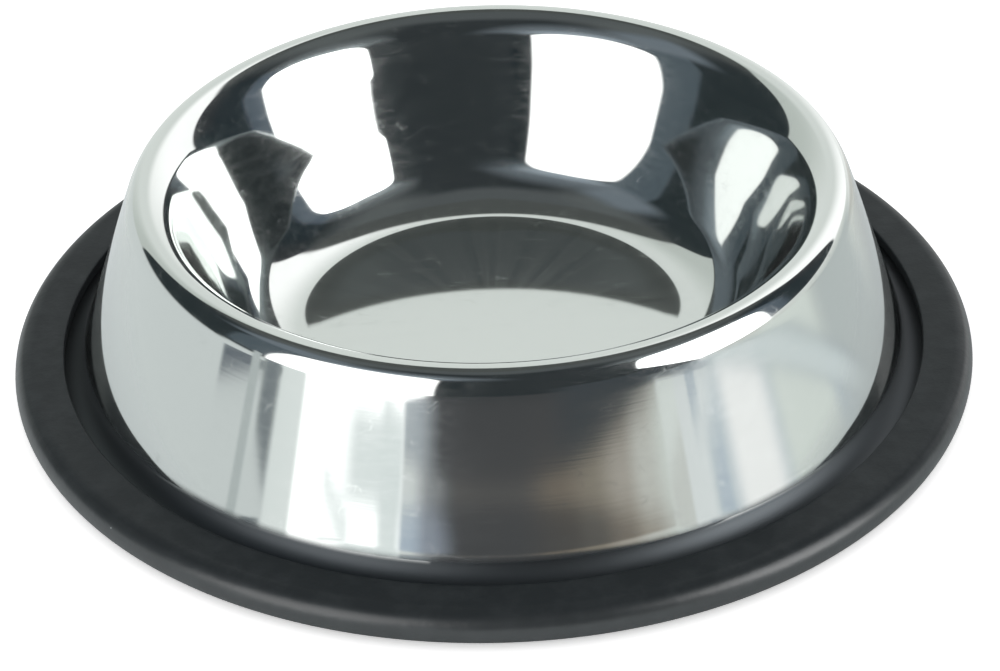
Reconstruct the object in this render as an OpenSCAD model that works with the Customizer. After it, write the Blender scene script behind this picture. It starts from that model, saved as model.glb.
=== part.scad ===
// Non-slip pet bowl in two pieces, both turned about the Z axis: a polished steel bowl,
// pressed in one piece, whose outer flange sits in the groove of a moulded rubber ring.
// The origin is the centre of the ring's underside, +Z is up, lengths are in millimetres.

/* [Rim and skirt] */
// Diameter across the crest of the rim
rim_d = 168.6; // [164:0.2:174]
// Height of the crest above the table
bowl_h = 54.3; // [50:0.1:58]
// Radius of the rim's outer roll, next to the crest
rim_roll_r = 4.2; // [3.8:0.1:5]
// Angle above level at which the rim faces where that roll ends, in degrees
rim_turn = 36; // [32:0.5:40]
// Radius of the wider bend that leads from the roll into the skirt
rim_bend_r = 13; // [10:0.5:15]
// Lean of the skirt from upright, in degrees
skirt_lean = 18.7; // [17:0.1:22]
// Thickness of the steel sheet
sheet_t = 0.7; // [0.5:0.1:1]

/* [Dish] */
// Radius of the tight roll on the rim's inner side
lip_roll_r = 3.6; // [3:0.1:5]
// Slope at which the tight roll ends and the shoulder starts, in degrees
lip_slope = 30; // [26:0.5:36]
// Radius of the shoulder between rim and wall
shoulder_r = 12.8; // [10:0.2:16]
// Slope where the shoulder ends and the upper wall starts, in degrees
shoulder_slope = 59; // [54:0.5:62]
// Radius of the upper wall, which is slightly round
upper_wall_r = 70; // [50:1:90]
// Slope of the wall's straight middle, its steepest part, in degrees
wall_slope = 65.5; // [63:0.5:70]
// Share of the height left for the straight middle and the lower wall that is straight
straight_share = 0.52; // [0.4:0.02:0.6]
// Slope where the lower, hollow wall ends and the knee starts, in degrees
knee_slope = 55.8; // [50:0.2:60]
// Radius of the hollow knee at the foot of the wall
knee_r = 18.9; // [16:0.1:22]
// Slope where the knee ends and the last curve starts, in degrees
sag_slope = 20.4; // [16:0.2:26]
// Radius of the last curve, which runs out into the flat floor
sag_r = 19.5; // [15:0.5:25]
// Height of the dish floor above the table
floor_z = 10.3; // [8:0.1:12]

/* [Foot of the bowl] */
// Radius of the flare that turns the skirt out into the flange
flare_r = 8; // [6:0.5:9]
// Width of the flat flange outside the flare
flange_w = 3.4; // [2.5:0.1:5]
// Height of the flange's upper face above the table
flange_z = 6.4; // [5:0.1:7]

/* [Rubber ring] */
// Height of the ring
ring_h = 9.6; // [9:0.1:12]
// Width of the rubber outside the groove
bead_w = 6.8; // [6.2:0.1:9]
// Reach of the upper lip inwards, past the start of the flange's flat
lip_reach = 2.2; // [1:0.1:3]
// Reach of the lower lip inwards, past the start of the flange's flat
heel_reach = 6.6; // [3:0.1:9]
// Radius of the lip's upper edge
lip_edge_r = 0.5; // [0.3:0.1:1]
// Clearance of the groove over and round the flange
fit_gap = 0.15; // [0.1:0.05:0.3]

/* [Hidden] */
$fn = 96;
// Angle that one straight piece of a rounded outline spans at most
arc_step = 4;
// Length by which a cut runs past what it cuts
overrun = 1;

// The outline's arcs, each with its centre as radius from the Z axis and height. Each arc
// runs into the next without a kink, so its centre lies on the line through the last arc's
// end. Round arcs have their centre below the sheet, hollow ones above it.
function step_along(p, angle, d) = [p[0] + d * cos(angle), p[1] + d * sin(angle)];
rim_c = [rim_d / 2, bowl_h - rim_roll_r];
rim_end = step_along(rim_c, rim_turn, rim_roll_r);
rim_bend_c = step_along(rim_end, rim_turn + 180, rim_bend_r);
lip_c = [rim_d / 2, bowl_h - lip_roll_r];
lip_end = step_along(lip_c, lip_slope + 90, lip_roll_r);
shoulder_c = step_along(lip_end, lip_slope - 90, shoulder_r);
shoulder_end = step_along(shoulder_c, shoulder_slope + 90, shoulder_r);
upper_wall_c = step_along(shoulder_end, shoulder_slope - 90, upper_wall_r);
upper_wall_end = step_along(upper_wall_c, wall_slope + 90, upper_wall_r);

// The straight middle and the lower wall share the height that is left above the knee. An
// arc of radius r loses r * (cos(end) - cos(start)) of height between two slopes.
knee_drop = knee_r * (cos(sag_slope) - cos(knee_slope));
sag_drop = sag_r * (1 - cos(sag_slope));
wall_drop = upper_wall_end[1] - floor_z - knee_drop - sag_drop;
straight_l = straight_share * wall_drop / sin(wall_slope);
straight_end = step_along(upper_wall_end, wall_slope + 180, straight_l);
lower_wall_r = (1 - straight_share) * wall_drop / (cos(knee_slope) - cos(wall_slope));
lower_wall_c = step_along(straight_end, wall_slope + 90, lower_wall_r);
lower_wall_end = step_along(lower_wall_c, knee_slope - 90, lower_wall_r);
knee_c = step_along(lower_wall_end, knee_slope + 90, knee_r);
knee_end = step_along(knee_c, sag_slope - 90, knee_r);
sag_c = step_along(knee_end, sag_slope + 90, sag_r);

// The flare's centre is rim_bend_r + flare_r out from the line through rim_bend_c that runs
// beside the skirt.
flare_rise = flange_z + flare_r - rim_bend_c[1];
flare_out = (rim_bend_r + flare_r - flare_rise * sin(skirt_lean)) / cos(skirt_lean);
flare_c = [rim_bend_c[0] + flare_out, flange_z + flare_r];

flange_end = flare_c[0] + flange_w;
groove_end = flange_end + fit_gap;
ring_r = groove_end + bead_w;
lip_r = flare_c[0] - lip_reach;
heel_r = flare_c[0] - heel_reach;
bead_r = ring_h / 2;

// Points of an arc, without its first one where skip is 1
function arc(c, r, from, to, skip = 1) =
    let (n = ceil(abs(to - from) / arc_step))
    [for (i = [skip:n]) step_along(c, from + (to - from) * i / n, r)];

function backwards(points) = [for (i = [len(points) - 1:-1:0]) points[i]];

// Line of the sheet from the middle of the dish to the flange's edge, at depth d below
// the face that shows
function sheet_line(d) = concat(
    [[0, floor_z - d]],
    arc(sag_c, sag_r + d, -90, sag_slope - 90, skip = 0),
    arc(knee_c, knee_r + d, sag_slope - 90, knee_slope - 90),
    arc(lower_wall_c, lower_wall_r + d, knee_slope - 90, wall_slope - 90),
    arc(upper_wall_c, upper_wall_r - d, wall_slope + 90, shoulder_slope + 90, skip = 0),
    arc(shoulder_c, shoulder_r - d, shoulder_slope + 90, lip_slope + 90),
    arc(lip_c, lip_roll_r - d, lip_slope + 90, 90),
    arc(rim_c, rim_roll_r - d, 90, rim_turn),
    arc(rim_bend_c, rim_bend_r - d, rim_turn, skirt_lean),
    arc(flare_c, flare_r + d, skirt_lean + 180, 270, skip = 0),
    [[flange_end, flange_z - d]]
);

// Steel bowl: dish, rolled rim, skirt, flare and flange, all one sheet
module bowl() {
    color("silver")
    rotate_extrude()
    polygon(concat(sheet_line(0), backwards(sheet_line(sheet_t))));
}

// Square corner that lies outside a quarter circle of the lip's edge
module lip_corner() {
    difference() {
        translate([lip_r - overrun, ring_h - lip_edge_r])
        square([overrun + lip_edge_r, lip_edge_r + overrun]);
        translate([lip_r + lip_edge_r, ring_h - lip_edge_r])
        circle(lip_edge_r);
    }
}

// Room for the bowl's foot: the mouth inside the lip, the groove round the flange, and the
// lip's underside, which follows the flare
module foot_room() {
    translate([heel_r - overrun, flange_z - sheet_t])
    square([overrun + lip_r - heel_r, ring_h]);
    translate([heel_r - overrun, flange_z - sheet_t])
    square([overrun + groove_end - heel_r, sheet_t + fit_gap]);
    difference() {
        translate([heel_r, flange_z])
        square([flare_c[0] - heel_r, flare_r]);
        translate(flare_c)
        circle(flare_r - fit_gap);
    }
}

// Rubber ring: a round outer bead with an upper and a lower lip that hold the flange
module rubber_ring() {
    color([0.16, 0.16, 0.16])
    rotate_extrude()
    difference() {
        union() {
            translate([ring_r - bead_r, bead_r])
            circle(bead_r);
            translate([heel_r, 0])
            square([ring_r - bead_r - heel_r, ring_h]);
        }
        foot_room();
        lip_corner();
    }
}

bowl();
rubber_ring();
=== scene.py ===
# %% [markdown]
# # A polished steel pet bowl in its rubber ring
#
# The bowl is one pressing: a dish, a rolled rim, a conical skirt, and at its foot a flare
# and a flat flange. A black rubber ring grips the flange. Both are round about the Z axis,
# so each is one outline turned about that axis. What makes the picture is polished steel,
# which has almost no look of its own and shows the studio round it. So this lesson makes
# two outlines with care, and then spends its effort on what the steel sees.

# %% Load the frame
import math
from types import SimpleNamespace

import bpy
import numpy as np
from mathutils import Matrix, Vector

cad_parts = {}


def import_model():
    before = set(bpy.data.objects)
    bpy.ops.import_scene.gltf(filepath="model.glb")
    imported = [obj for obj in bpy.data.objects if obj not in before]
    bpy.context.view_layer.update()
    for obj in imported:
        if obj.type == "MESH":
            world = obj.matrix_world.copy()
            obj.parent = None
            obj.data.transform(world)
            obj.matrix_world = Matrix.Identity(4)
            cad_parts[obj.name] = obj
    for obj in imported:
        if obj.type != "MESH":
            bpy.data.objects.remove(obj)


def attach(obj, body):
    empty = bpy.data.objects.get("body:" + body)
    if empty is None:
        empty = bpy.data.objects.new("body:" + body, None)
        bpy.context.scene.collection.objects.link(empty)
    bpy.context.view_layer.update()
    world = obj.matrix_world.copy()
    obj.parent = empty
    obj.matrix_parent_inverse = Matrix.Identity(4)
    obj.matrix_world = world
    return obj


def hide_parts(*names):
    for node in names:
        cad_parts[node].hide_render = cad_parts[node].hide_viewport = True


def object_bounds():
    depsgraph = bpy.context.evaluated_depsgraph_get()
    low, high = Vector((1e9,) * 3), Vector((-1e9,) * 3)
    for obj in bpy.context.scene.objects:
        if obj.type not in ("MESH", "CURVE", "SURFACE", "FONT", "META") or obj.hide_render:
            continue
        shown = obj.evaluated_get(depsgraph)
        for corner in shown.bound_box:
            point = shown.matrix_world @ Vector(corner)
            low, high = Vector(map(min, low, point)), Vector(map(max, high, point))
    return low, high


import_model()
cad_low, cad_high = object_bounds()
MM = 0.001
print("CAD box in mm", [round(v / MM, 2) for v in (*cad_low, *cad_high)])

# %% [markdown]
# ## Colours and nodes
#
# A colour is easiest to choose as a hex value, as a picture editor shows it. Blender's
# sockets want linear light, so one function turns the one into the other. A second small
# function adds a shader node with its settings and links, which keeps a material readable
# as a list of steps.

# %% Colour and node helpers
def linear(hex_colour):
    """sRGB hex to linear RGBA: each channel is ((c + 0.055) / 1.055) ** 2.4 above the toe."""
    srgb = np.array([int(hex_colour[i:i + 2], 16) / 255 for i in (0, 2, 4)])
    toe = srgb / 12.92
    curve = ((srgb + 0.055) / 1.055) ** 2.4
    return (*np.where(srgb <= 0.04045, toe, curve), 1.0)


def add(tree, kind, links=(), **settings):
    """Adds one node. settings are the node's own properties, or inputs where the name
    starts with in_ and ends with the socket's name or number. links are pairs of a socket
    of this node and the socket that feeds it."""
    node = tree.nodes.new(kind)
    for name, value in settings.items():
        if name.startswith("in_"):
            key = name[3:]
            key = int(key) if key.isdigit() else key.replace("_", " ")
            node.inputs[key].default_value = value
        else:
            setattr(node, name, value)
    for key, source in links:
        tree.links.new(source, node.inputs[key])
    return node


print("white paper would be", [round(v, 3) for v in linear("F4F4F2")])

# %% [markdown]
# The steel, the rubber and the table are all round about the Z axis, and each of their
# materials changes with the distance from it. So one function makes an empty material, and
# another works out where a point lies.

# %% Material helpers
def new_material(name):
    """An empty node material and its tree."""
    material = bpy.data.materials.new(name)
    material.use_nodes = True
    material.node_tree.nodes.clear()
    return material, material.node_tree


def place_on_piece(tree):
    """Where a point lies on its piece: its object coordinates (spot), their x and z, the
    vector (x, y, 0) from the Z axis to it (aside), and that vector's length,
    sqrt(x ** 2 + y ** 2) (from_axis)."""
    spot = add(tree, "ShaderNodeTexCoord").outputs["Object"]
    parts = add(tree, "ShaderNodeSeparateXYZ", [("Vector", spot)]).outputs
    flat = add(tree, "ShaderNodeCombineXYZ", [("X", parts["X"]), ("Y", parts["Y"])])
    aside = flat.outputs["Vector"]
    length = add(tree, "ShaderNodeVectorMath", [(0, aside)], operation="LENGTH")
    return SimpleNamespace(
        spot=spot, x=parts["X"], z=parts["Z"], aside=aside, from_axis=length.outputs["Value"])


print("materials so far", len(bpy.data.materials))

# %% [markdown]
# ## The camera
#
# The picture was taken with a long lens from about a metre away, a little more than a third
# of a right angle above the table, and the frame is turned a little about the lens. A long
# lens matters here: it fixes how much the ring's ellipse narrows towards the back. The
# camera is made from three directions that are square to each other, so the small turn
# takes only two lines.

# %% Camera
LENS_MM = 140.9
SENSOR_MM = 36.0
CAMERA_ELEVATION = math.radians(33.55)
CAMERA_ROLL = math.radians(-1.5)
CAMERA_DISTANCE = 985.0 * MM
CLIP_START = 10 * MM
CLIP_END = 100.0
AIM = Vector((1.7, 0.0, 6.5)) * MM


def camera_matrix(aim, elevation, roll, distance):
    """The camera sits at aim + back * distance. Its right and up are square to back and
    then turned by roll about it."""
    back = Vector((0.0, -math.cos(elevation), math.sin(elevation)))
    right = Vector((0.0, 0.0, 1.0)).cross(back).normalized()
    up = back.cross(right)
    turned_right = right * math.cos(roll) + up * math.sin(roll)
    turned_up = up * math.cos(roll) - right * math.sin(roll)
    matrix = Matrix((turned_right, turned_up, back)).transposed().to_4x4()
    matrix.translation = aim + back * distance
    return matrix


camera = bpy.data.objects.new("camera", bpy.data.cameras.new("camera"))
bpy.context.scene.collection.objects.link(camera)
bpy.context.scene.camera = camera
camera.data.sensor_width = SENSOR_MM
camera.data.lens = LENS_MM
camera.data.clip_start = CLIP_START
camera.data.clip_end = CLIP_END
camera.matrix_world = camera_matrix(AIM, CAMERA_ELEVATION, CAMERA_ROLL, CAMERA_DISTANCE)
print("camera at", [round(v, 3) for v in camera.location])

# %% [markdown]
# ## Turning an outline about Z
#
# Steel this smooth shows every facet, so the surface is a fine grid: one direction runs
# along the outline, the other round the axis. A Screw or Spin modifier could do the same,
# but a grid worked out with numpy gives full control of the spacing, and its poles can be
# single points instead of a knot of thin triangles. The outline is a closed loop, or it
# starts and ends on the axis. Drawn with the radius to the right and the height up, it keeps
# the solid on its left, so that every face points outwards.

# %% Surface of revolution
SHARP_ANGLE = math.radians(40)


def revolve(name, outline, turns):
    """Point (i, j) is (r_i cos a_j, r_i sin a_j, z_i), with a_j = 2 pi j / turns. A row
    whose radius is zero is one point, joined to the next row by a fan. Elsewhere each cell
    of the grid is one four-sided face."""
    radius, height = outline[:, 0], outline[:, 1]
    angle = np.arange(turns) * (2 * math.pi / turns)
    closed = radius[0] > 0
    rows = np.arange(len(outline)) if closed else np.arange(1, len(outline) - 1)
    grid = np.stack([
        radius[rows, None] * np.cos(angle),
        radius[rows, None] * np.sin(angle),
        np.broadcast_to(height[rows, None], (len(rows), turns)),
    ], axis=-1)
    points = grid.reshape(-1, 3)
    index = np.arange(len(rows) * turns).reshape(len(rows), turns)
    around = np.roll(index, -1, axis=1)
    low, high = index[:-1], index[1:]
    low_next, high_next = around[:-1], around[1:]
    quads = np.stack([low, low_next, high_next, high], axis=-1).reshape(-1, 4)
    faces = [quads]
    if closed:
        wrap = np.stack([index[-1], around[-1], around[0], index[0]], axis=-1)
        faces = [np.concatenate([quads, wrap])]
    else:
        first, last = len(points), len(points) + 1
        ends = np.array([[0, 0, height[0]], [0, 0, height[-1]]])
        points = np.concatenate([points, ends])
        fan_first = np.stack([np.full(turns, first), around[0], index[0]], axis=-1)
        fan_last = np.stack([np.full(turns, last), index[-1], around[-1]], axis=-1)
        faces += [fan_first, fan_last]
    mesh = bpy.data.meshes.new(name)
    mesh.from_pydata(points, [], [face for group in faces for face in group.tolist()])
    mesh.shade_smooth()
    mesh.set_sharp_from_angle(angle=SHARP_ANGLE)
    piece = bpy.data.objects.new(name, mesh)
    bpy.context.scene.collection.objects.link(piece)
    print(name, "has", len(points), "points and", len(mesh.polygons), "faces")
    return piece


print("edges sharper than", round(math.degrees(SHARP_ANGLE)), "degrees stay sharp")

# %% [markdown]
# An outline is put together from arcs and straight lines. Each is a short row of points, and
# the next row starts where the last one ended.

# %% Arcs and straight lines
def along(start, degrees, length):
    """The point that lies length from start in a direction given in degrees."""
    turn = math.radians(degrees)
    return np.array(start) + length * np.array([math.cos(turn), math.sin(turn)])


def arc(centre, radius, start, end, count, skip=1):
    """centre + radius (cos t, sin t) for t from start to end degrees, in count steps,
    without the first point where skip is 1."""
    t = np.radians(np.linspace(start, end, count + 1)[skip:])
    return np.array(centre) + radius * np.stack([np.cos(t), np.sin(t)], axis=-1)


def straight(start, end, count):
    """count equal steps from start to end, without the two ends."""
    share = np.linspace(0, 1, count + 1)[1:-1, None]
    return np.array(start) * (1 - share) + np.array(end) * share


print("a quarter circle in 4 steps", np.round(arc((0, 0), 1, 0, 90, 4, skip=0), 2).tolist())

# %% [markdown]
# ## The outline of the steel
#
# The sheet starts flat in the middle of the dish, sags up through a shallow curve and a
# hollow knee, and climbs the wall. The wall is S-shaped: hollow low down, straight half way,
# and slightly round near the top, where it turns over a shoulder into the rim. This S is
# what gives the lamps' images their waist. At the crest the sheet rolls over, tightly first
# and then in a wider bend, and becomes a straight cone down to the flare and the flange.
#
# Each arc runs into the next without a kink: that is what pressed steel does, and a kink
# would show at once as a break in the reflections. So the outline is walked like a road,
# from the crest down the inside: a bend starts with the slope at which the last one ended,
# and the wall's middle takes what height is left.

# %% Sizes of the steel
RIM_RADIUS = 84.3 * MM
BOWL_HEIGHT = 54.3 * MM
SHEET = 0.7 * MM
RIM_ROLL = 4.2 * MM
RIM_TURN = 36.0
RIM_BEND = 13.0 * MM
SKIRT_LEAN = 18.7
LIP_ROLL = 3.6 * MM
LIP_SLOPE = 30.0
SHOULDER_RADIUS = 12.8 * MM
SHOULDER_SLOPE = 59.0
UPPER_WALL_RADIUS = 70.0 * MM
WALL_SLOPE = 65.5
STRAIGHT_SHARE = 0.52
KNEE_SLOPE = 55.8
KNEE_RADIUS = 18.9 * MM
SAG_SLOPE = 20.4
SAG_RADIUS = 19.5 * MM
FLOOR_HEIGHT = 10.3 * MM
FLARE_RADIUS = 8.0 * MM
FLANGE_WIDTH = 3.4 * MM
FLANGE_HEIGHT = 6.4 * MM
print("dish depth in mm", round((BOWL_HEIGHT - FLOOR_HEIGHT) / MM, 1))

# %% [markdown]
# The centres of the bends follow from these sizes. Round bends have their centre below the
# sheet, hollow ones above it. The first half takes the rim's outer bends, and then walks
# inwards from the crest to the foot of the upper wall.

# %% Rim, shoulder and upper wall
crest = np.array([RIM_RADIUS, BOWL_HEIGHT])
rim_centre = crest - [0, RIM_ROLL]
rim_end = along(rim_centre, RIM_TURN, RIM_ROLL)
bend_centre = along(rim_end, RIM_TURN + 180, RIM_BEND)
lip_centre = crest - [0, LIP_ROLL]
lip_end = along(lip_centre, LIP_SLOPE + 90, LIP_ROLL)
shoulder_centre = along(lip_end, LIP_SLOPE - 90, SHOULDER_RADIUS)
shoulder_end = along(shoulder_centre, SHOULDER_SLOPE + 90, SHOULDER_RADIUS)
upper_wall_centre = along(shoulder_end, SHOULDER_SLOPE - 90, UPPER_WALL_RADIUS)
upper_wall_end = along(upper_wall_centre, WALL_SLOPE + 90, UPPER_WALL_RADIUS)
print("upper wall ends in mm at", np.round(upper_wall_end / MM, 2))

# %% [markdown]
# The second half goes on down to the floor. The knee and the sag lose a known height, so the
# straight middle and the lower wall share what is left, and the flat floor's radius is where
# the walk ends. The flare's centre lies on the skirt's outer side, as far from it as the
# flare's radius, and as high above the flange.

# %% Wall, knee, floor and flare
def bend_drop(start, end):
    """Height that a hollow bend of radius 1 loses between two slopes: cos end - cos start."""
    return math.cos(math.radians(end)) - math.cos(math.radians(start))


knee_drop = KNEE_RADIUS * bend_drop(KNEE_SLOPE, SAG_SLOPE)
sag_drop = SAG_RADIUS * bend_drop(SAG_SLOPE, 0)
wall_drop = upper_wall_end[1] - FLOOR_HEIGHT - knee_drop - sag_drop
straight_length = STRAIGHT_SHARE * wall_drop / math.sin(math.radians(WALL_SLOPE))
straight_end = along(upper_wall_end, WALL_SLOPE + 180, straight_length)
lower_wall_radius = (1 - STRAIGHT_SHARE) * wall_drop / bend_drop(WALL_SLOPE, KNEE_SLOPE)
lower_wall_centre = along(straight_end, WALL_SLOPE + 90, lower_wall_radius)
lower_wall_end = along(lower_wall_centre, KNEE_SLOPE - 90, lower_wall_radius)
knee_centre = along(lower_wall_end, KNEE_SLOPE + 90, KNEE_RADIUS)
knee_end = along(knee_centre, SAG_SLOPE - 90, KNEE_RADIUS)
sag_centre = along(knee_end, SAG_SLOPE + 90, SAG_RADIUS)

lean = math.radians(SKIRT_LEAN)
flare_height = FLANGE_HEIGHT + FLARE_RADIUS
flare_rise = flare_height - bend_centre[1]
flare_out = (RIM_BEND + FLARE_RADIUS - flare_rise * math.sin(lean)) / math.cos(lean)
flare_centre = np.array([bend_centre[0] + flare_out, flare_height])
flange_end = flare_centre[0] + FLANGE_WIDTH
print("straight middle in mm", round(straight_length / MM, 1))
print("lower wall radius in mm", round(lower_wall_radius / MM, 1))
print("floor radius in mm", round(sag_centre[0] / MM, 2))
print("flare centre in mm", np.round(flare_centre / MM, 2))

# %% [markdown]
# The sheet has two faces that run side by side, so one function gives the line at any depth.
# The outline runs out along the hidden face and back along the one that shows, which gets
# four times as many points.

# %% Steel bowl
TURNS = 320
FINE, COARSE = 4, 1


def sheet_line(depth, fine):
    """The sheet from the middle of the dish to the flange's edge, depth below the face
    that shows. Hollow bends grow by depth and round ones shrink by it."""
    middle = [0.0, FLOOR_HEIGHT - depth]
    sag_start = [sag_centre[0], FLOOR_HEIGHT - depth]
    wall_top = along(upper_wall_centre, WALL_SLOPE + 90, UPPER_WALL_RADIUS - depth)
    wall_foot = along(lower_wall_centre, WALL_SLOPE - 90, lower_wall_radius + depth)
    skirt_top = along(bend_centre, SKIRT_LEAN, RIM_BEND - depth)
    skirt_foot = along(flare_centre, SKIRT_LEAN + 180, FLARE_RADIUS + depth)
    lower_wall = lower_wall_radius + depth
    upper_wall = UPPER_WALL_RADIUS - depth
    shoulder = SHOULDER_RADIUS - depth
    return np.concatenate([
        [middle],
        straight(middle, sag_start, 4 * fine),
        arc(sag_centre, SAG_RADIUS + depth, -90, SAG_SLOPE - 90, 3 * fine, skip=0),
        arc(knee_centre, KNEE_RADIUS + depth, SAG_SLOPE - 90, KNEE_SLOPE - 90, 4 * fine),
        arc(lower_wall_centre, lower_wall, KNEE_SLOPE - 90, WALL_SLOPE - 90, 3 * fine),
        straight(wall_foot, wall_top, fine),
        arc(upper_wall_centre, upper_wall, WALL_SLOPE + 90, SHOULDER_SLOPE + 90, 2 * fine, skip=0),
        arc(shoulder_centre, shoulder, SHOULDER_SLOPE + 90, LIP_SLOPE + 90, 4 * fine),
        arc(lip_centre, LIP_ROLL - depth, LIP_SLOPE + 90, 90, 3 * fine),
        arc(rim_centre, RIM_ROLL - depth, 90, RIM_TURN, 5 * fine),
        arc(bend_centre, RIM_BEND - depth, RIM_TURN, SKIRT_LEAN, 3 * fine),
        straight(skirt_top, skirt_foot, 4 * fine),
        arc(flare_centre, FLARE_RADIUS + depth, SKIRT_LEAN + 180, 270, 4 * fine, skip=0),
        [[flange_end, FLANGE_HEIGHT - depth]],
    ])


steel_outline = np.concatenate([sheet_line(SHEET, COARSE), sheet_line(0, FINE)[::-1]])
bowl = revolve("steel_bowl", steel_outline, TURNS)
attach(bowl, "bowl")
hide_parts("bowl")

# %% [markdown]
# ## The rubber ring
#
# The ring is one moulding, stretched over the flange: a round outer bead that runs into a
# flat top, with an upper and a lower lip round the flange. A torus with a groove cut out
# would come close, but an outline turned like that of the steel keeps bead, lips and groove
# exact. The groove follows the bowl's foot with a small clearance, so the two always fit,
# and the outer edge keeps to the CAD model's box.

# %% Rubber ring
RING_HEIGHT = 9.6 * MM
LIP_REACH = 2.2 * MM
HEEL_REACH = 6.6 * MM
LIP_EDGE = 0.5 * MM
FIT_GAP = 0.15 * MM
BEAD_STEPS = 48
FLAT_STEPS = 8

groove_end = flange_end + FIT_GAP
ring_radius = cad_high[1]
bead = RING_HEIGHT / 2
bead_centre = (ring_radius - bead, bead)
lip = flare_centre[0] - LIP_REACH
heel = flare_centre[0] - HEEL_REACH
groove_floor = FLANGE_HEIGHT - SHEET
groove_roof = FLANGE_HEIGHT + FIT_GAP
follow = FLARE_RADIUS - FIT_GAP
lip_angle = math.degrees(math.acos(-LIP_REACH / follow))

ring_outline = np.concatenate([
    [[heel, 0.0]],
    straight([heel, 0.0], [bead_centre[0], 0.0], FLAT_STEPS),
    arc(bead_centre, bead, -90, 90, BEAD_STEPS, skip=0),
    straight([bead_centre[0], RING_HEIGHT], [lip + LIP_EDGE, RING_HEIGHT], FLAT_STEPS),
    arc((lip + LIP_EDGE, RING_HEIGHT - LIP_EDGE), LIP_EDGE, 90, 180, FLAT_STEPS, skip=0),
    arc(flare_centre, follow, -lip_angle, -90, FLAT_STEPS, skip=0),
    [[groove_end, groove_roof]],
    [[groove_end, groove_floor]],
    [[heel, groove_floor]],
])
ring = revolve("rubber_ring_skin", ring_outline, TURNS)
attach(ring, "rubber_ring")
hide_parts("rubber_ring")
print("ring radius in mm", round(ring_radius / MM, 2))

# %% [markdown]
# ## Polished stainless steel
#
# The steel is bare, so it is a metal with one pale, faintly cool colour. Polishing never
# leaves a perfect mirror, though. The wheel runs round the bowl and leaves fine rings, which
# a shallow bump makes: they fray the edges of the reflections into short level streaks. A
# pressed sheet isn't quite true either, and a second, much wider bump bends straight
# reflections a little. A bump is enough for both, since neither shows at the outline.
#
# The rings are a noise that changes fast along the outline and slowly round it. Along the
# outline both the height and the radius change, so the noise has four dimensions.

# %% Polishing rings and waves in the steel
RING_PITCH = 0.9 * MM
RING_DEPTH = 0.0007 * MM
RING_TURN = 2.0
WAVE_PITCH = 28 * MM
WAVE_DEPTH = 0.012 * MM

steel, tree = new_material("polished_stainless_steel")
here = place_on_piece(tree)
facing = add(tree, "ShaderNodeVectorMath", [(0, here.aside)], operation="NORMALIZE")
swept = add(tree, "ShaderNodeVectorMath", [(0, facing.outputs["Vector"])], operation="SCALE",
            in_Scale=RING_TURN)
around = add(tree, "ShaderNodeSeparateXYZ", [("Vector", swept.outputs["Vector"])])
level = add(tree, "ShaderNodeMath", [(0, here.z)], operation="DIVIDE", in_1=RING_PITCH)
reach = add(tree, "ShaderNodeMath", [(0, here.from_axis)], operation="DIVIDE", in_1=RING_PITCH)
lined = add(tree, "ShaderNodeCombineXYZ", [
    ("X", around.outputs["X"]), ("Y", around.outputs["Y"]), ("Z", level.outputs[0])])
rings = add(tree, "ShaderNodeTexNoise",
            [("Vector", lined.outputs["Vector"]), ("W", reach.outputs[0])],
            noise_dimensions="4D", in_Scale=1.0, in_Detail=2.0)
waves = add(tree, "ShaderNodeTexNoise", [("Vector", here.spot)], in_Scale=1 / WAVE_PITCH, in_Detail=0.0)
wavy = add(tree, "ShaderNodeBump", [("Height", waves.outputs["Fac"])], in_Distance=WAVE_DEPTH)
ringed = add(tree, "ShaderNodeBump",
             [("Height", rings.outputs["Fac"]), ("Normal", wavy.outputs["Normal"])],
             in_Distance=RING_DEPTH)
print("a ring every", RING_PITCH / MM, "mm, a wave every", WAVE_PITCH / MM, "mm")

# %% [markdown]
# Use leaves scratches that scatter light. A rougher steel is mixed into the clear one, a
# little everywhere and more where a streaky noise is high, and it draws a thin haze round
# everything bright. The streaks lie mostly round the bowl, as the polishing does.

# %% Clear steel and haze
STEEL = "D5D8D6"
STEEL_ROUGH = 0.045
HAZE_ROUGH = 0.26
HAZE_LEAST, HAZE_MOST = 0.04, 0.16
STREAK_LOW, STREAK_HIGH = 0.42, 0.72
STREAK_TURN = 6.0
SCRATCH_PITCH = 1.6 * MM

slow = add(tree, "ShaderNodeVectorMath", [(0, lined.outputs["Vector"])], operation="MULTIPLY",
           in_1=(STREAK_TURN, STREAK_TURN, RING_PITCH / SCRATCH_PITCH))
streaks = add(tree, "ShaderNodeTexNoise", [("Vector", slow.outputs["Vector"])],
              in_Scale=1.0, in_Detail=4.0, in_Roughness=0.7)
thick = add(tree, "ShaderNodeMapRange", [("Value", streaks.outputs["Fac"])],
            in_From_Min=STREAK_LOW, in_From_Max=STREAK_HIGH, in_To_Min=HAZE_LEAST, in_To_Max=HAZE_MOST)
clear_steel = add(tree, "ShaderNodeBsdfPrincipled", [("Normal", ringed.outputs["Normal"])],
                  in_Metallic=1.0, in_Roughness=STEEL_ROUGH, in_Base_Color=linear(STEEL))
hazy_steel = add(tree, "ShaderNodeBsdfPrincipled", [("Normal", ringed.outputs["Normal"])],
                 in_Metallic=1.0, in_Roughness=HAZE_ROUGH, in_Base_Color=linear(STEEL))
print("haze covers", HAZE_LEAST, "to", HAZE_MOST, "of the steel")

# %% [markdown]
# Single hairline scratches show as well. The level lines of a smooth noise are long, even
# curves, so a thin band round one level is a hairline. The noise's space is turned and
# stretched to make the lines nearly straight, and a second noise keeps short pieces of
# them. Real hairlines are finer still: these are as wide as they need to be to show.

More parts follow.
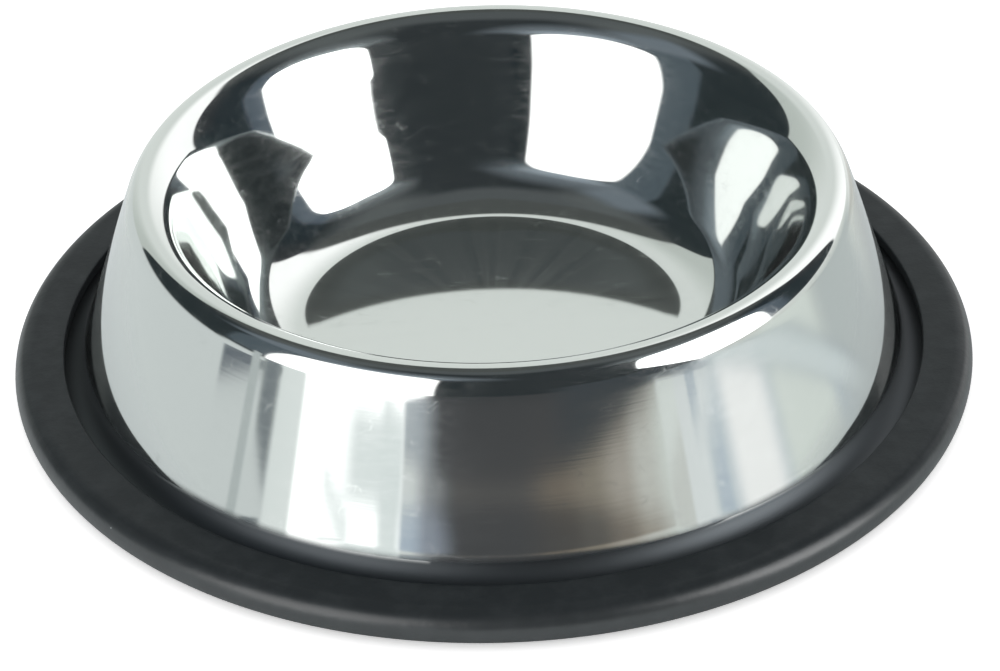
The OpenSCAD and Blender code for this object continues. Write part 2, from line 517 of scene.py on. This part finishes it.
# %% Hairline scratches
HAIRLINE_TURNS = (20, 75, 140)
HAIRLINE_TILT = (0.3, 0.2)
HAIRLINE_PITCH = 4.5 * MM
HAIRLINE_STRETCH = 0.2
HAIRLINE_LEVEL = 0.5
HAIRLINE_WIDTH = 0.01
HAIRLINE_SHARE = 0.3
KEPT_LOW, KEPT_HIGH = 0.55, 0.62

hazes = thick.outputs["Result"]
for turned_by in HAIRLINE_TURNS:
    stretched = add(tree, "ShaderNodeMapping", [("Vector", here.spot)],
                    in_Rotation=(*HAIRLINE_TILT, math.radians(turned_by)),
                    in_Scale=(HAIRLINE_STRETCH / HAIRLINE_PITCH, 1 / HAIRLINE_PITCH, 1 / HAIRLINE_PITCH))
    field = add(tree, "ShaderNodeTexNoise", [("Vector", stretched.outputs["Vector"])],
                in_Scale=1.0, in_Detail=1.0)
    off_level = add(tree, "ShaderNodeMath", [(0, field.outputs["Fac"])], operation="SUBTRACT",
                    in_1=HAIRLINE_LEVEL)
    apart = add(tree, "ShaderNodeMath", [(0, off_level.outputs[0])], operation="ABSOLUTE")
    hairline = add(tree, "ShaderNodeMapRange", [("Value", apart.outputs[0])],
                   in_From_Max=HAIRLINE_WIDTH, in_To_Min=HAIRLINE_SHARE, in_To_Max=0.0)
    pieces = add(tree, "ShaderNodeTexNoise", [("Vector", here.spot)],
                 in_Scale=1 / HAIRLINE_PITCH, in_Detail=1.0)
    kept = add(tree, "ShaderNodeMapRange", [("Value", pieces.outputs["Fac"])],
               in_From_Min=KEPT_LOW, in_From_Max=KEPT_HIGH)
    hairs = add(tree, "ShaderNodeMath", [(0, hairline.outputs["Result"]), (1, kept.outputs["Result"])],
                operation="MULTIPLY")
    hazes = add(tree, "ShaderNodeMath", [(0, hazes), (1, hairs.outputs[0])], operation="ADD").outputs[0]
polished = add(tree, "ShaderNodeMixShader", [
    (0, hazes), (1, clear_steel.outputs["BSDF"]), (2, hazy_steel.outputs["BSDF"])])
print("hairlines run in", len(HAIRLINE_TURNS), "directions")

# %% [markdown]
# The wheel can't reach into the hollow flare at the bowl's foot, so the steel stays dull
# there, and the lamps leave only a soft glow in it. Its dark colour is painted shade: it
# stands in for the shade in the groove by the rubber and for the black rubber that the flare
# reflects, since bare steel there is as pale as the rest. The dull and shaded share rises
# with depth where the skirt turns out into the flare, outside the rim's radius, and it falls
# back to nothing under the rubber's lip, where the flat flange keeps the bare steel.

# %% Dull foot with painted shade, and the finished steel
# Dark colour of the foot: painted shade for the groove and for the black rubber that the flare reflects
DULL_SHADED_STEEL = "525659"
DULL_ROUGH = 0.45
DULL_SHADE_START = 13.4 * MM
DULL_SHADE_FULL = 10.9 * MM
DULL_SHADE_EDGE = flare_centre[0] - 1.6 * MM
DULL_SHADE_FADE = 1.0 * MM

dull_shaded_steel = add(tree, "ShaderNodeBsdfPrincipled", [("Normal", ringed.outputs["Normal"])],
                 in_Metallic=1.0, in_Roughness=DULL_ROUGH, in_Base_Color=linear(DULL_SHADED_STEEL))
low_down = add(tree, "ShaderNodeMapRange", [("Value", here.z)], interpolation_type="SMOOTHSTEP",
               in_From_Min=DULL_SHADE_FULL, in_From_Max=DULL_SHADE_START, in_To_Min=1.0, in_To_Max=0.0)
outside = add(tree, "ShaderNodeMath", [(0, here.from_axis)], operation="GREATER_THAN", in_1=RIM_RADIUS)
low_outside = add(tree, "ShaderNodeMath", [(0, low_down.outputs["Result"]), (1, outside.outputs[0])],
                  operation="MULTIPLY")
bare = add(tree, "ShaderNodeMapRange", [("Value", here.from_axis)], in_From_Min=DULL_SHADE_EDGE,
           in_From_Max=DULL_SHADE_EDGE + DULL_SHADE_FADE, in_To_Min=1.0, in_To_Max=0.0)
# Share of the foot that shows dull steel with painted shade instead of the polished steel
dull_shaded_foot = add(tree, "ShaderNodeMath", [(0, low_outside.outputs[0]), (1, bare.outputs["Result"])],
           operation="MULTIPLY")
finished = add(tree, "ShaderNodeMixShader", [
    (0, dull_shaded_foot.outputs[0]), (1, polished.outputs[0]), (2, dull_shaded_steel.outputs["BSDF"])])
add(tree, "ShaderNodeOutputMaterial", [("Surface", finished.outputs[0])])
bowl.data.materials.append(steel)
print("steel is made of", len(tree.nodes), "nodes")

# %% [markdown]
# ## Moulded black rubber
#
# The ring is cast in a matt mould, so its black is a soft dark grey. Rubber holds dust: a
# fine mottle makes patches of it, and a few pale specks sit on top. A Voronoi pattern places
# the specks: its colour is a random value in each cell, which decides whether the cell has a
# speck and how large that is.

# %% Dust on the rubber
RUBBER = "292D2F"
RUBBER_DUSTY = "323638"
SPECK = "9A9E9F"
MOTTLE_PITCH = 7 * MM
DUST_LOW, DUST_HIGH = 0.45, 0.75
SPECK_PITCH = 7 * MM
NO_SPECK_SHARE = 0.55
SPECK_SIZE_SHARE = 0.035

rubber, tree = new_material("moulded_black_rubber")
here = place_on_piece(tree)
mottle = add(tree, "ShaderNodeTexNoise", [("Vector", here.spot)], in_Scale=1 / MOTTLE_PITCH,
             in_Detail=5.0, in_Roughness=0.65)
dusty = add(tree, "ShaderNodeMapRange", [("Value", mottle.outputs["Fac"])],
            in_From_Min=DUST_LOW, in_From_Max=DUST_HIGH)
tone = add(tree, "ShaderNodeMix", [("Factor", dusty.outputs["Result"])], data_type="RGBA",
           in_6=linear(RUBBER), in_7=linear(RUBBER_DUSTY))
cells = add(tree, "ShaderNodeTexVoronoi", [("Vector", here.spot)], in_Scale=1 / SPECK_PITCH)
chance = add(tree, "ShaderNodeSeparateColor", [("Color", cells.outputs["Color"])])
speck_size = add(tree, "ShaderNodeMapRange", [("Value", chance.outputs["Red"])],
                 in_From_Min=NO_SPECK_SHARE, in_From_Max=1.0, in_To_Max=SPECK_SIZE_SHARE)
near = add(tree, "ShaderNodeMath", [(0, cells.outputs["Distance"]), (1, speck_size.outputs["Result"])],
           operation="LESS_THAN")
speckled = add(tree, "ShaderNodeMix", [("Factor", near.outputs[0]), (6, tone.outputs[2])],
               data_type="RGBA", in_7=linear(SPECK))
print("specks are up to", round(SPECK_SIZE_SHARE * SPECK_PITCH / MM, 2), "mm in radius")

# %% [markdown]
# The flat top is matt. Only the bead's outer wall, where hands and floors rub it, has a
# shine, which draws a soft pale line along it. The shine grows with the distance from the
# axis over about the last two millimetres, and a weak grain in the surface keeps it soft.

# %% Shine of the bead, and the finished rubber
RUBBER_ROUGH = 0.34
RUBBER_SHINE = 0.09
BEAD_SHINE = 0.95
BEAD_MATT = ring_radius - 2.4 * MM
BEAD_SHINY = ring_radius - 0.2 * MM
GRAIN_DEPTH = 0.15 * MM

grain = add(tree, "ShaderNodeBump", [("Height", mottle.outputs["Fac"])], in_Distance=GRAIN_DEPTH)
shine = add(tree, "ShaderNodeMapRange", [("Value", here.from_axis)], interpolation_type="SMOOTHSTEP",
            in_From_Min=BEAD_MATT, in_From_Max=BEAD_SHINY, in_To_Min=RUBBER_SHINE, in_To_Max=BEAD_SHINE)
skin = add(tree, "ShaderNodeBsdfPrincipled", [
    ("Base Color", speckled.outputs[2]), ("Normal", grain.outputs["Normal"]),
    ("Specular IOR Level", shine.outputs["Result"])], in_Roughness=RUBBER_ROUGH)
add(tree, "ShaderNodeOutputMaterial", [("Surface", skin.outputs["BSDF"])])
ring.data.materials.append(rubber)
print("rubber is made of", len(tree.nodes), "nodes")

# %% [markdown]
# ## The table
#
# The bowl stands on a round white table top. The steel sees it from below its own skirt,
# and there the table's colour is a little darker on the right: that is painted shade, seen
# only in the steel. For the camera the table adds a little glow of its own, so that it is as
# white as the backdrop and only the soft contact shadow under the rubber stays. Further out
# the table fades for the steel, which sees the painted studio there instead.

# %% Table
TABLE_RADIUS = 450 * MM
TABLE_THICK = 20 * MM
TABLE_TURNS = 96
TABLE_WHITE = "FFFFFF"
TABLE_IN_STEEL = "E4EAEB"
# Painted shade: the darker tone that the table takes on the right, seen only in the steel
TABLE_SHADED_ON_RIGHT = "D0D6D7"
DIMMER_FROM, DIMMER_TO = 0.0, 140 * MM
TABLE_GLOW = 0.45
TABLE_NEAR, TABLE_FAR = 130 * MM, 210 * MM

table_outline = np.array([
    [0.0, -TABLE_THICK], [TABLE_RADIUS, -TABLE_THICK], [TABLE_RADIUS, 0.0], [0.0, 0.0]])
table = revolve("table", table_outline, TABLE_TURNS)

white, tree = new_material("matte_white_table")
here = place_on_piece(tree)
# Painted shade: the table's colour for the steel turns darker towards the right
dimmer = add(tree, "ShaderNodeMapRange", [("Value", here.x)], interpolation_type="SMOOTHSTEP",
             in_From_Min=DIMMER_FROM, in_From_Max=DIMMER_TO)
in_steel = add(tree, "ShaderNodeMix", [("Factor", dimmer.outputs["Result"])], data_type="RGBA",
               in_6=linear(TABLE_IN_STEEL), in_7=linear(TABLE_SHADED_ON_RIGHT))
path = add(tree, "ShaderNodeLightPath").outputs
seen = add(tree, "ShaderNodeMix", [("Factor", path["Is Camera Ray"]), (6, in_steel.outputs[2])],
           data_type="RGBA", in_7=linear(TABLE_WHITE))
paper = add(tree, "ShaderNodeBsdfDiffuse", [("Color", seen.outputs[2])])
strength = add(tree, "ShaderNodeMath", [(0, path["Is Camera Ray"])], operation="MULTIPLY",
               in_1=TABLE_GLOW)
glow = add(tree, "ShaderNodeEmission", [("Strength", strength.outputs[0])])
lit = add(tree, "ShaderNodeAddShader", [(0, paper.outputs[0]), (1, glow.outputs[0])])
far = add(tree, "ShaderNodeMapRange", [("Value", here.from_axis)], interpolation_type="SMOOTHSTEP",
          in_From_Min=TABLE_NEAR, in_From_Max=TABLE_FAR)
faded = add(tree, "ShaderNodeMath", [(0, far.outputs["Result"]), (1, path["Is Glossy Ray"])],
            operation="MULTIPLY")
nothing = add(tree, "ShaderNodeBsdfTransparent")
fading = add(tree, "ShaderNodeMixShader", [
    (0, faded.outputs[0]), (1, lit.outputs[0]), (2, nothing.outputs[0])])
add(tree, "ShaderNodeOutputMaterial", [("Surface", fading.outputs[0])])
table.data.materials.append(white)
print("table is", 2 * TABLE_RADIUS, "m across")

# %% [markdown]
# ## The studio that the steel shows
#
# Polished steel is only as good as what stands round it. The picture has a white backdrop
# behind the bowl, a large softbox to the left of the camera, another to its right, and a
# dark room between them and overhead. In a mirror, lamps that are far away look the same as
# a world whose colour depends on the direction, so the studio is painted on the world. Real
# lamps would have to be moved about until their images fit, while painted ones are placed
# by two angles: azimuth 0 is the camera's side and it grows to the camera's right, and
# elevation 0 is level.

# %% Studio directions
world = bpy.data.worlds.new("studio")
bpy.context.scene.world = world
world.use_nodes = True
tree = world.node_tree
tree.nodes.clear()
direction = add(tree, "ShaderNodeTexCoord").outputs["Generated"]
axes = add(tree, "ShaderNodeSeparateXYZ", [("Vector", direction)]).outputs
toward = add(tree, "ShaderNodeMath", [(0, axes["Y"])], operation="MULTIPLY", in_1=-1.0)
turn = add(tree, "ShaderNodeMath", [(0, axes["X"]), (1, toward.outputs[0])], operation="ARCTAN2")
azimuth = add(tree, "ShaderNodeMath", [(0, turn.outputs[0])], operation="DEGREES").outputs[0]
rise = add(tree, "ShaderNodeMath", [(0, axes["Z"])], operation="ARCSINE")
elevation = add(tree, "ShaderNodeMath", [(0, rise.outputs[0])], operation="DEGREES").outputs[0]
off_front = add(tree, "ShaderNodeMath", [(0, azimuth)], operation="ABSOLUTE").outputs[0]
print("directions are worked out in", len(tree.nodes), "nodes")

# %% [markdown]
# A thing in the studio is a share of the sky, 1 inside it and 0 outside, with soft edges,
# and the sky is painted like a canvas, back to front: each new colour covers what lies
# under it by its share. A share is a product of smooth steps, each along the azimuth, the
# elevation or a curve made of both.

# %% Shares of the sky
def past(angle, edge, soft, share=None):
    """A smooth step from 0 at edge - soft to 1 at edge + soft, times share where given."""
    step = add(tree, "ShaderNodeMapRange", [("Value", angle)], interpolation_type="SMOOTHSTEP",
               in_From_Min=edge - soft, in_From_Max=edge + soft).outputs["Result"]
    if share is None:
        return step
    return add(tree, "ShaderNodeMath", [(0, share), (1, step)], operation="MULTIPLY").outputs[0]


def before(angle, edge, soft, share=None):
    """The same step turned round: 1 at edge - soft and 0 at edge + soft."""
    return past(angle, edge, -soft, share)


def between(angle, start, end, soft, share=None):
    """Past the start and before the end, both equally soft."""
    return before(angle, end, soft, past(angle, start, soft, share))


def patch(left, right, low, high, soft, soft_height):
    """The share of a patch between two azimuths and two elevations."""
    return between(elevation, low, high, soft_height, between(azimuth, left, right, soft))


print("shares start from", len(tree.nodes), "nodes")

# %% [markdown]
# A softbox has straight sides and rounded corners. A sum of powers gives that form: power 2
# is an ellipse, and a greater one comes nearer to a rectangle.

# %% Rounded window
def window(angle, centre, half_width, low, height, power):
    """How far out a direction lies in a window with rounded corners, 1 on its edge:
    |(angle - centre) / half_width| ** power + |(elevation - low) / height| ** power."""
    sides = []
    for value, middle, reach in ((angle, centre, half_width), (elevation, low, height)):
        off = add(tree, "ShaderNodeMath", [(0, value)], operation="SUBTRACT", in_1=middle)
        ratio = add(tree, "ShaderNodeMath", [(0, off.outputs[0])], operation="DIVIDE", in_1=reach)
        size = add(tree, "ShaderNodeMath", [(0, ratio.outputs[0])], operation="ABSOLUTE")
        raised = add(tree, "ShaderNodeMath", [(0, size.outputs[0])], operation="POWER", in_1=power)
        sides.append(raised.outputs[0])
    return add(tree, "ShaderNodeMath", [(0, sides[0]), (1, sides[1])], operation="ADD").outputs[0]


print("half way to one side, power 3 gives", 0.5 ** 3)

# %% [markdown]
# Painting is a mix: the new colour covers the old one by its share. Many things differ only
# in their edges and colours, so they are written as rows and painted in order.

# %% Paint
def paint(under, share, hex_colour, strength=1.0):
    """The colour under it, covered by a new colour where share is 1."""
    glow = tuple(strength * c for c in linear(hex_colour)[:3]) + (1.0,)
    mix = add(tree, "ShaderNodeMix", [("Factor", share), (6, under)], data_type="RGBA", in_7=glow)
    return mix.outputs[2]


def paint_patches(under, patches):
    """A row of patches is left, right, low and high edge, softness in azimuth and in
    elevation, and the colour."""
    for *edges, hex_colour in patches.values():
        under = paint(under, patch(*edges), hex_colour)
    return under


def paint_tones(under, share, tones):
    """Tones that follow each other along the azimuth: each row is the azimuth past which a
    tone covers the last one, its softness and its colour."""
    for edge, soft, hex_colour in tones:
        under = paint(under, past(azimuth, edge, soft, share), hex_colour)
    return under


print("a softbox at strength 1 would be", [round(v, 2) for v in linear("FFFFFF")])

# %% [markdown]
# ### Room and ceiling
#
# The room is dark, and darkest in the gap beside the left box. The ceiling is paler at the
# sides and overhead, and darker again towards the back. Dark rooms lie beside the two boxes,
# with the side cloths of the boxes in front of them.

# %% Room and ceiling
ROOM = "32383B"
ROOM_PATCHES = {
    "gap beside the left box": (-20, -9, 12, 42, 2, 4, "1E272B"),
    "room on the left": (-136, -80, -90, 44, 5, 8, "2C3538"),
    "side cloth of the left box": (-83, -60, 6, 38, 1.5, 4, "58646C"),
    "haze over that cloth": (-96, -60, 36, 58, 8, 6, "7A848D"),
    "room on the right": (84, 130, -90, 42.5, 3, 2, "2A3439"),
    "side cloth of the right box": (80, 96, 2, 41, 2, 2, "586470"),
    "paler corner of that room": (112, 130, 8, 41, 5, 3, "363A3D"),
}

sky = add(tree, "ShaderNodeRGB").outputs[0]
sky.default_value = linear(ROOM)
ceiling_sides = past(elevation, 52, 10, past(off_front, 58, 25))
sky = paint(sky, ceiling_sides, "64696A")
overhead = past(elevation, 71, 6)
sky = paint(sky, overhead, "5A5F61")
ceiling_back = past(elevation, 45, 6, past(off_front, 118, 8))
sky = paint(sky, ceiling_back, "555958")
sky = paint_patches(sky, ROOM_PATCHES)
print("room patches", len(ROOM_PATCHES))

# %% [markdown]
# ### Haze and backdrop
#
# Each softbox lights a haze above it, wide and weak, then near and bright. The backdrop is
# dimmer at its left edge and brighter on the right, by the lamp.

# %% Haze and backdrop
# Azimuth of the middle, half width, low edge, height and corner power of each window
LEFT_BOX = (-37, 31.6, 5, 35.3, 2.3)
RIGHT_BOX = (66.6, 24, 5, 37, 3.2)
BACKDROP = (180, 66, 5, 55, 2.3)
HAZE_SOFT = 5
left_out = window(azimuth, *LEFT_BOX)
right_out = window(azimuth, *RIGHT_BOX)
back_out = window(off_front, *BACKDROP)

# Which window, how far out its haze reaches, softness, lowest elevation and colour
HAZES = (
    (left_out, 2.3, 1.2, 38, "7C858D"),
    (left_out, 1.35, 0.4, 38, "AEBAC5"),
    (right_out, 2.4, 1.3, 40, "7E8487"),
    (right_out, 1.35, 0.4, 40, "B4BEC2"),
)
for out_of_box, haze_reach, soft, haze_low, hex_colour in HAZES:
    haze = past(elevation, haze_low, HAZE_SOFT, before(out_of_box, haze_reach, soft))
    sky = paint(sky, haze, hex_colour)

behind = past(off_front, 128, 1.0, before(back_out, 1.0, 0.08))
sky = paint(sky, behind, "F4F9F6")
dim_side = before(azimuth, -110, 4, past(azimuth, -148, 14, behind))
sky = paint(sky, dim_side, "D6DDD8")
by_lamp = past(azimuth, 123.5, 1.0, before(back_out, 1.05, 0.08))
sky = paint(sky, before(azimuth, 158, 20, by_lamp), "FFFFFF", 1.5)
print("hazes", len(HAZES))

# %% [markdown]
# ### The floor far off
#
# The skirt leans back a little, so its front shows what lies nearly level with the bowl, a
# narrow band of low things. First comes the floor of the studio, neutral in front and pale at
# the sides, where it fades into the backdrop. Low things end before the back, so that the two
# sides meet evenly.

# %% Floor far off
FLOOR_PATCHES = {
    "floor in front": (-40, 50, -90, 4, 6, 2, "505153"),
    "floor below the right box": (18, 60, -0.5, 12, 6, 0.8, "464C51"),
}
BACK_EDGE, BACK_SOFT = 150, 20

sky = paint_patches(sky, FLOOR_PATCHES)
ahead = before(azimuth, BACK_EDGE, BACK_SOFT)
low_left = past(azimuth, -BACK_EDGE, BACK_SOFT, before(azimuth, -76, 3))
low_right = past(azimuth, 62, 3, ahead)
sky = paint(sky, before(elevation, 0.5, 2, low_left), "E6ECEC")
sky = paint(sky, before(elevation, 1, 1, low_right), "FFFFFF", 1.15)
sky = paint(sky, before(elevation, 0, 2, past(azimuth, 84, 6, low_right)), "EFF4F0")
print("floor patches", len(FLOOR_PATCHES))

# %% [markdown]
# ### A brown wedge
#
# In front a thin brown line crosses the floor. It bends down and widens to both sides, so
# its middle and its half width are parabolas of the azimuth. Under it the floor is browner,
# and paler to the right, with a dimmer floor low down behind the right box.

# %% Brown wedge
WEDGE_TOP, WEDGE_SAG = 1.55, 0.00123
WEDGE_THIN, WEDGE_GROWTH = 0.08, 0.00036
BELOW_TONES = ((21, 3, "64625F"), (29, 4, "827A71"), (36, 3, "A69E92"), (43, 3, "C9C8C4"))
WEDGE_TONES = (
    (10, 5, "938779"), (21, 5, "A1998C"), (29, 4, "C1BBB2"), (36.5, 3, "DEDFD9"), (43.5, 3, "ECF2ED"))


def parabola(top, bend):
    """top + bend * azimuth ** 2, in degrees."""
    squared = add(tree, "ShaderNodeMath", [(0, azimuth), (1, azimuth)], operation="MULTIPLY")
    return add(tree, "ShaderNodeMath", [(0, squared.outputs[0])], operation="MULTIPLY_ADD",
               in_1=bend, in_2=top).outputs[0]


wedge_middle = parabola(WEDGE_TOP, -WEDGE_SAG)
wedge_half = parabola(WEDGE_THIN, WEDGE_GROWTH)
over_middle = add(tree, "ShaderNodeMath", [(0, elevation), (1, wedge_middle)],
                  operation="SUBTRACT").outputs[0]
off_middle = add(tree, "ShaderNodeMath", [(0, over_middle)], operation="ABSOLUTE")
wedge_out = add(tree, "ShaderNodeMath", [(0, off_middle.outputs[0]), (1, wedge_half)],
                operation="DIVIDE").outputs[0]

below = past(azimuth, 12, 8, before(over_middle, 0, 0.15, ahead))
sky = paint(sky, below, "585654")
sky = paint_tones(sky, below, BELOW_TONES)
wedge = past(azimuth, -12, 3, before(wedge_out, 1.1, 0.7, ahead))
sky = paint(sky, wedge, "74716E")
sky = paint_tones(sky, wedge, WEDGE_TONES)
dim_floor = patch(106, 138, -90, -5, 6, 4)
sky = paint(sky, dim_floor, "CFD6D6")
print("wedge in", 1 + len(WEDGE_TONES), "tones")

# %% [markdown]
# ### The far edge of the table on the right
#
# On the right the far edge of the table is a dark line that bends down too, and fades into
# the pale things round it. Under it stands a pale post, with bluish cloths on both sides.

# %% Table edge on the right
EDGE_TOP, EDGE_SAG = 3.63, 0.00142
EDGE_TONES = ((52, 3, "8D969D"), (57.5, 3, "B0BAC1"), (63.5, 3, "EBF4F6"))

table_edge = parabola(EDGE_TOP, -EDGE_SAG)
over_edge = add(tree, "ShaderNodeMath", [(0, elevation), (1, table_edge)],
                operation="SUBTRACT").outputs[0]
under_edge = past(azimuth, 46, 1, before(over_edge, -0.28, 0.14, ahead))
sky = paint(sky, under_edge, "F6FCF9", 1.03)
sky = paint(sky, before(elevation, -1.3, 0.3, under_edge), "E4E7E3")
post = past(azimuth, 51.2, 0.4, under_edge)
sky = paint(sky, post, "F8FDFE")
cloth = past(elevation, -1.9, 0.5, between(azimuth, 55, 58, 0.6, post))
sky = paint(sky, cloth, "C6D2DC")
low_cloth = before(elevation, -2.6, 0.6, past(azimuth, 58, 1.5, post))
sky = paint(sky, low_cloth, "D4DFE6")
cloth_foot = patch(59, 62.5, -90, -3.3, 1, 0.2)
sky = paint(sky, cloth_foot, "C9D6E2")
bright_floor = before(azimuth, 80, 4, past(azimuth, 65, 3, before(over_edge, -0.3, 0.15)))
sky = paint(sky, bright_floor, "FFFFFF", 1.18)
floor_by_box = patch(82, 104, -90, -4, 3, 3)
sky = paint(sky, floor_by_box, "F2F9F4")
dark_edge = past(azimuth, 44, 3, before(over_edge, 0.35, 0.25, past(over_edge, -0.3, 0.12)))
sky = paint(sky, dark_edge, "787D82")
sky = paint_tones(sky, dark_edge, EDGE_TONES)
print("table edge in", 1 + len(EDGE_TONES), "tones")

# %% [markdown]
# ### Cloths and stands on the left
#
# To the right of the left box hangs a bluish cloth with a paler one under it, and a bright
# thread where the wedge crosses them. To its left are pale stands with dark gaps, and the
# table's edge again.

# %% Cloths and stands on the left
CLOTHS = {
    "bluish cloth": (-30, -17, 1.1, 3, 3, 0.3, "A2A8AE"),
    "its paler side": (-30, -20, 1.1, 2.6, 2.5, 0.3, "B4BDC4"),
    "lower cloth": (-30, -13, -90, 0.9, 4, 0.2, "9AA2B0"),
    "paler side of the lower cloth": (-30, -20, -90, 0.8, 2.5, 0.2, "BCCBDB"),
}
STANDS = {
    "thin stand": (-72.8, -70, -90, 8, 0.6, 1, "C8D0D0"),
    "gap": (-68.3, -62.9, -4.1, 8, 0.9, 0.2, "949C9E"),
    "darker middle of the gap": (-67.2, -63.9, -3.9, 8, 0.6, 0.2, "838B90"),
}

sky = paint_patches(sky, CLOTHS)
thread = before(azimuth, -13, 3, past(azimuth, -30, 1, before(wedge_out, 1.2, 0.6)))
sky = paint(sky, thread, "9FA1A2")
sky = paint(sky, before(azimuth, -20, 3, thread), "F6FAF8")

between_stands = patch(-84, -56, -90, 3.0, 3, 2)
sky = paint(sky, between_stands, "E6ECEC")
left_edge = past(azimuth, -83, 1, before(over_edge, 0.8, 0.3, past(over_edge, -0.25, 0.15)))
sky = paint(sky, before(azimuth, -62, 1, left_edge), "949C9E")
sky = paint(sky, before(azimuth, -71, 1.5, left_edge), "68707A")
sky = paint_patches(sky, STANDS)
bright_stand = patch(-62.2, -54, -90, 8, 0.6, 1)
sky = paint(sky, bright_stand, "F6FCFB", 1.05)
print("patches on the left", len(CLOTHS) + len(STANDS))

# %% [markdown]
# ### The softboxes
#
# The left box reaches down to the floor. Its lower right corner is cut along a slant, and a
# pale streak of the same shape as the wedge crosses it. The boxes are brighter than white,
# so that their images stay white in steel that swallows a third of the light.

# %% Left softbox
BOX_STRENGTH = 2.2
SLANT, SLANT_EDGE, SLANT_SOFT = -6.4, -39.3, 1.2

slant = add(tree, "ShaderNodeMath", [(0, elevation), (2, azimuth)], operation="MULTIPLY_ADD",
            in_1=SLANT).outputs[0]
slanted = before(slant, SLANT_EDGE, SLANT_SOFT)
box_low = before(slant, SLANT_EDGE, SLANT_SOFT, patch(-54.5, -19, 1.3, 6, 1, 0.3))
sky = paint(sky, box_low, "FFFFFF", BOX_STRENGTH)
box_foot = patch(-54.5, -25.3, -90, 3.2, 1.0, 0.5)
sky = paint(sky, box_foot, "FFFFFF", BOX_STRENGTH)
streak = before(over_middle, 1.0, 0.2, past(over_middle, -0.5, 0.15))
streak = past(azimuth, -41, 4, before(azimuth, -25.3, 1, streak))
sky = paint(sky, streak, "F2FAFA", 1.03)
streak_end = patch(-31, -25.3, -0.8, 1.8, 1.5, 0.2)
sky = paint(sky, streak_end, "F4FCFC", 1.03)
gleam = patch(-47, -38, -1.6, -0.95, 2, 0.2)
sky = paint(sky, gleam, "F8FFFF", 1.08)
left_box = before(azimuth, -17.2, 0.6, before(left_out, 1.0, 0.06, slanted))
left_box = past(elevation, 3, 1, left_box)
sky = paint(sky, left_box, "FFFFFF", BOX_STRENGTH)
print("left box is", 2 * LEFT_BOX[1], "degrees wide")

# %% [markdown]
# The right box is the brighter of the two. It has a slanted lower left corner as well, and it
# ends on the table's edge.

# %% Right softbox
RIGHT_STRENGTH = 4.0
CUT, CUT_EDGE = 0.9, 59.5

cut = add(tree, "ShaderNodeMath", [(0, elevation), (2, azimuth)], operation="MULTIPLY_ADD",
          in_1=CUT).outputs[0]
right_box = past(cut, CUT_EDGE, 1.0, before(right_out, 1.0, 0.08))
right_box = past(over_edge, 0.3, 0.3, before(azimuth, 87, 1.0, right_box))
right_box = past(elevation, -1, 1, right_box)
sky = paint(sky, right_box, "FFFFFF", RIGHT_STRENGTH)
print("right box is", 2 * RIGHT_BOX[1], "degrees wide")

# %% [markdown]
# ### Who sees what
#
# Only mirror rays see the painted studio. The camera itself sees plain white, and matt
# surfaces are lit by the same even white, as in a light tent.

# %% World
SKY_WHITE = "FFFFFF"
SKY_LIGHT = 1.0

path = add(tree, "ShaderNodeLightPath").outputs
even = add(tree, "ShaderNodeBackground", in_Color=linear(SKY_WHITE), in_Strength=SKY_LIGHT)
mirrored = add(tree, "ShaderNodeBackground", [("Color", sky)], in_Strength=1.0)
choose = add(tree, "ShaderNodeMixShader", [
    (0, path["Is Glossy Ray"]), (1, even.outputs[0]), (2, mirrored.outputs[0])])
add(tree, "ShaderNodeOutputWorld", [("Surface", choose.outputs[0])])
print("studio is made of", len(tree.nodes), "nodes")

# %% [markdown]
# ## View
#
# The Standard view shows a colour as it is written.

bpy.context.scene.view_settings.view_transform = "Standard"
